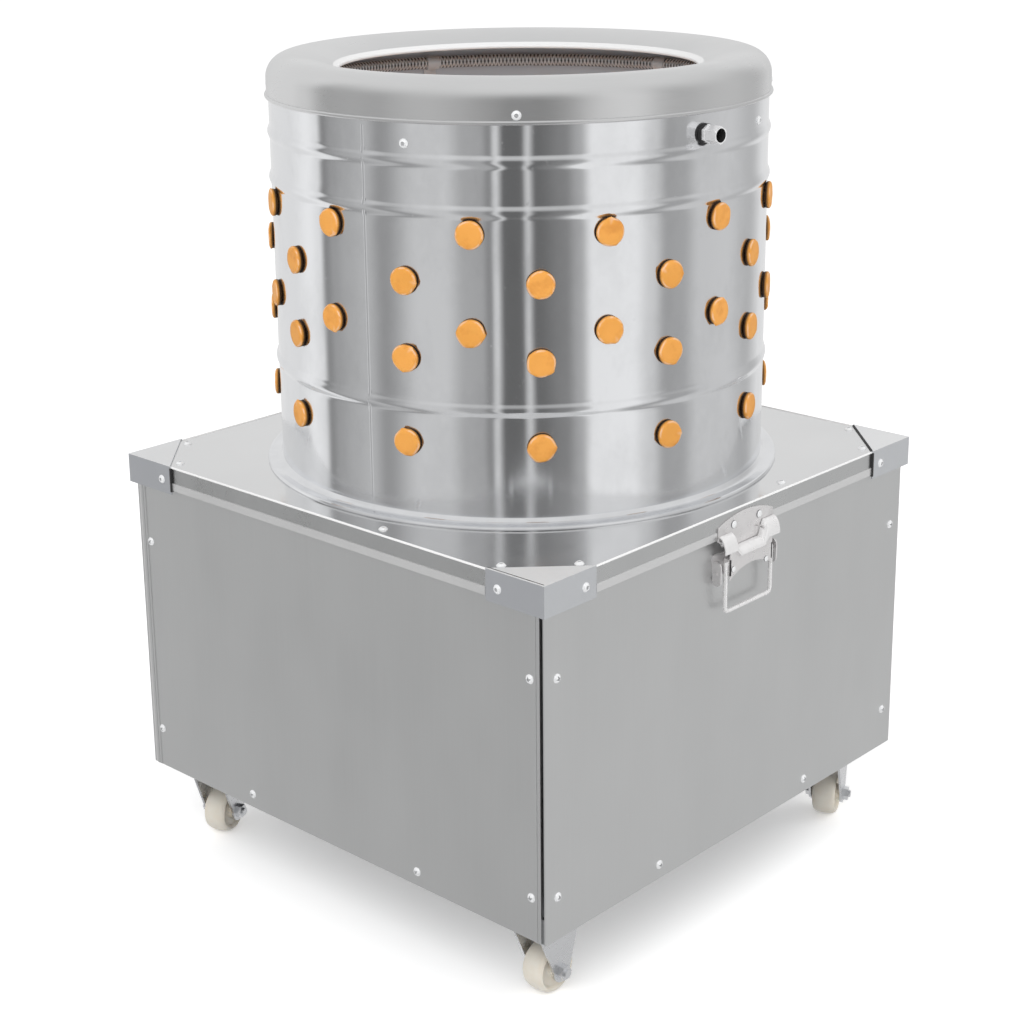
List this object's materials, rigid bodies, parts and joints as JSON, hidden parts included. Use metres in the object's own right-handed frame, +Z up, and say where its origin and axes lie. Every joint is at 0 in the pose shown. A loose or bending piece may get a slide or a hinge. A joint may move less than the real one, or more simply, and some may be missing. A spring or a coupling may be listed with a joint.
{
  "type": "poultry plucker",
  "caption": "Drum-type poultry plucker: steel finger drum on a tilting lid over a square wheeled cabinet, with a turning feather plate, belt drive, spray hose and draw latch.",
  "frame": {"origin": "on the floor, under the middle of the cabinet and the axis of the drum", "axes": "+Z up along the drum's axis; -Y is the face with the draw latch; +X is to the right of that face"},
  "size_m": [0.5878, 0.609, 0.8538],
  "materials": {
    "satin_sheet": "satin brushed stainless sheet",
    "polished_drum": "polished stainless sheet",
    "cast_grey": "painted castings",
    "dark_steel": "dark painted steel",
    "zinc": "bright zinc plate",
    "bright_shaft": "turned steel",
    "finger_rubber": "orange-yellow moulded rubber",
    "black_rubber": "black rubber",
    "wheel_plastic": "cream nylon",
    "black_plastic": "black plastic",
    "green_plastic": "green plastic",
    "red_plastic": "red plastic",
    "braided_hose": "hose with a steel braid",
    "chrome_fitting": "bright chromed fitting"
  },
  "bodies": {
    "cabinet": {"base_frame": "satin_sheet", "front_panel": "satin_sheet", "left_panel": "satin_sheet", "right_panel": "satin_sheet", "rear_panel": "satin_sheet", "panel_screws": "zinc", "cross_beams": "dark_steel", "upper_bearing": "cast_grey", "lower_bearing": "cast_grey", "mount_bolts": "zinc", "motor_mount": "dark_steel", "motor_body": "cast_grey", "motor_fan_cover": "dark_steel", "motor_terminal_box": "dark_steel", "drive_belt": "black_rubber", "feather_chute": "satin_sheet", "switch_box": "black_plastic", "cable_gland": "black_plastic", "latch_base": "zinc", "cabinet_hinge_leaves": "zinc", "hinge_pins": "zinc", "caster_plates": "zinc", "caster_bolts": "zinc"},
    "drum_and_lid": {"lid": "satin_sheet", "lid_stiffener": "satin_sheet", "corner_braces": "satin_sheet", "lid_screws": "zinc", "drum_shell": "polished_drum", "rim_cap": "satin_sheet", "rim_screws": "zinc", "wall_fingers": "finger_rubber", "spray_hose": "braided_hose", "hose_clips": "zinc", "inlet_fitting": "chrome_fitting", "inlet_washer": "black_rubber", "latch_strike": "zinc", "lid_hinge_leaves": "zinc"},
    "turntable": {"feather_plate": "polished_drum", "plate_fingers": "finger_rubber", "plate_hub": "cast_grey", "main_shaft": "bright_shaft", "driven_pulley": "cast_grey"},
    "motor_rotor": {"motor_shaft": "bright_shaft", "motor_pulley": "cast_grey"},
    "latch_lever_body": {"latch_lever": "zinc"},
    "latch_ring_body": {"latch_ring": "zinc"},
    "start_button_body": {"start_button": "green_plastic"},
    "stop_button_body": {"stop_button": "red_plastic"},
    "front_caster": {"front_caster_fork": "zinc", "front_caster_axle": "zinc"},
    "front_wheel": {"front_caster_wheel": "wheel_plastic"},
    "left_caster": {"left_caster_fork": "zinc", "left_caster_axle": "zinc"},
    "left_wheel": {"left_caster_wheel": "wheel_plastic"},
    "right_caster": {"right_caster_fork": "zinc", "right_caster_axle": "zinc"},
    "right_wheel": {"right_caster_wheel": "wheel_plastic"},
    "back_caster": {"back_caster_fork": "zinc", "back_caster_axle": "zinc"},
    "back_wheel": {"back_caster_wheel": "wheel_plastic"}
  },
  "joints": [
    {"name": "lid_tilt", "type": "hinge", "parent": "cabinet", "child": "drum_and_lid", "pos_m": [0, 0.297, 0.412], "axis": [-1, 0, 0], "range_deg": [0, 80]},
    {"name": "plate_spin", "type": "hinge", "parent": "cabinet", "child": "turntable", "pos_m": [0, 0, 0.26], "axis": [0, 0, 1], "continuous": true},
    {"name": "motor_spin", "type": "hinge", "parent": "cabinet", "child": "motor_rotor", "pos_m": [0, -0.19, 0.19], "axis": [0, 0, 1], "continuous": true},
    {"name": "latch_lever_turn", "type": "hinge", "parent": "cabinet", "child": "latch_lever_body", "pos_m": [0, -0.2915, 0.381], "axis": [1, 0, 0], "range_deg": [0, 45]},
    {"name": "latch_ring_swing", "type": "hinge", "parent": "latch_lever_body", "child": "latch_ring_body", "pos_m": [0, -0.2955, 0.39], "axis": [-1, 0, 0], "range_deg": [0, 90]},
    {"name": "start_button_press", "type": "slide", "parent": "cabinet", "child": "start_button_body", "axis": [0, -1, 0], "range_m": [0, 0.003], "stiffness_N_per_m": 600},
    {"name": "stop_button_press", "type": "slide", "parent": "cabinet", "child": "stop_button_body", "axis": [0, -1, 0], "range_m": [0, 0.003], "stiffness_N_per_m": 600},
    {"name": "front_caster_swivel", "type": "hinge", "parent": "cabinet", "child": "front_caster", "pos_m": [-0.238, -0.238, 0.08], "axis": [0, 0, 1], "continuous": true},
    {"name": "front_wheel_roll", "type": "hinge", "parent": "front_caster", "child": "front_wheel", "pos_m": [-0.23, -0.238, 0.025], "axis": [0, 1, 0], "continuous": true},
    {"name": "left_caster_swivel", "type": "hinge", "parent": "cabinet", "child": "left_caster", "pos_m": [-0.238, 0.238, 0.08], "axis": [0, 0, 1], "continuous": true},
    {"name": "left_wheel_roll", "type": "hinge", "parent": "left_caster", "child": "left_wheel", "pos_m": [-0.23048, 0.24074, 0.025], "axis": [-0.342, 0.9397, 0], "continuous": true},
    {"name": "right_caster_swivel", "type": "hinge", "parent": "cabinet", "child": "right_caster", "pos_m": [0.238, -0.238, 0.08], "axis": [0, 0, 1], "continuous": true},
    {"name": "right_wheel_roll", "type": "hinge", "parent": "right_caster", "child": "right_wheel", "pos_m": [0.24536, -0.23487, 0.025], "axis": [-0.3907, 0.9205, 0], "continuous": true},
    {"name": "back_caster_swivel", "type": "hinge", "parent": "cabinet", "child": "back_caster", "pos_m": [0.238, 0.238, 0.08], "axis": [0, 0, 1], "continuous": true},
    {"name": "back_wheel_roll", "type": "hinge", "parent": "back_caster", "child": "back_wheel", "pos_m": [0.24573, 0.23593, 0.025], "axis": [0.2588, 0.9659, 0], "continuous": true}
  ],
  "couplings": [
    {"joint": "motor_spin", "follows": "plate_spin", "ratio": 5.151},
    {"joint": "latch_ring_swing", "follows": "latch_lever_turn", "ratio": 2}
  ]
}
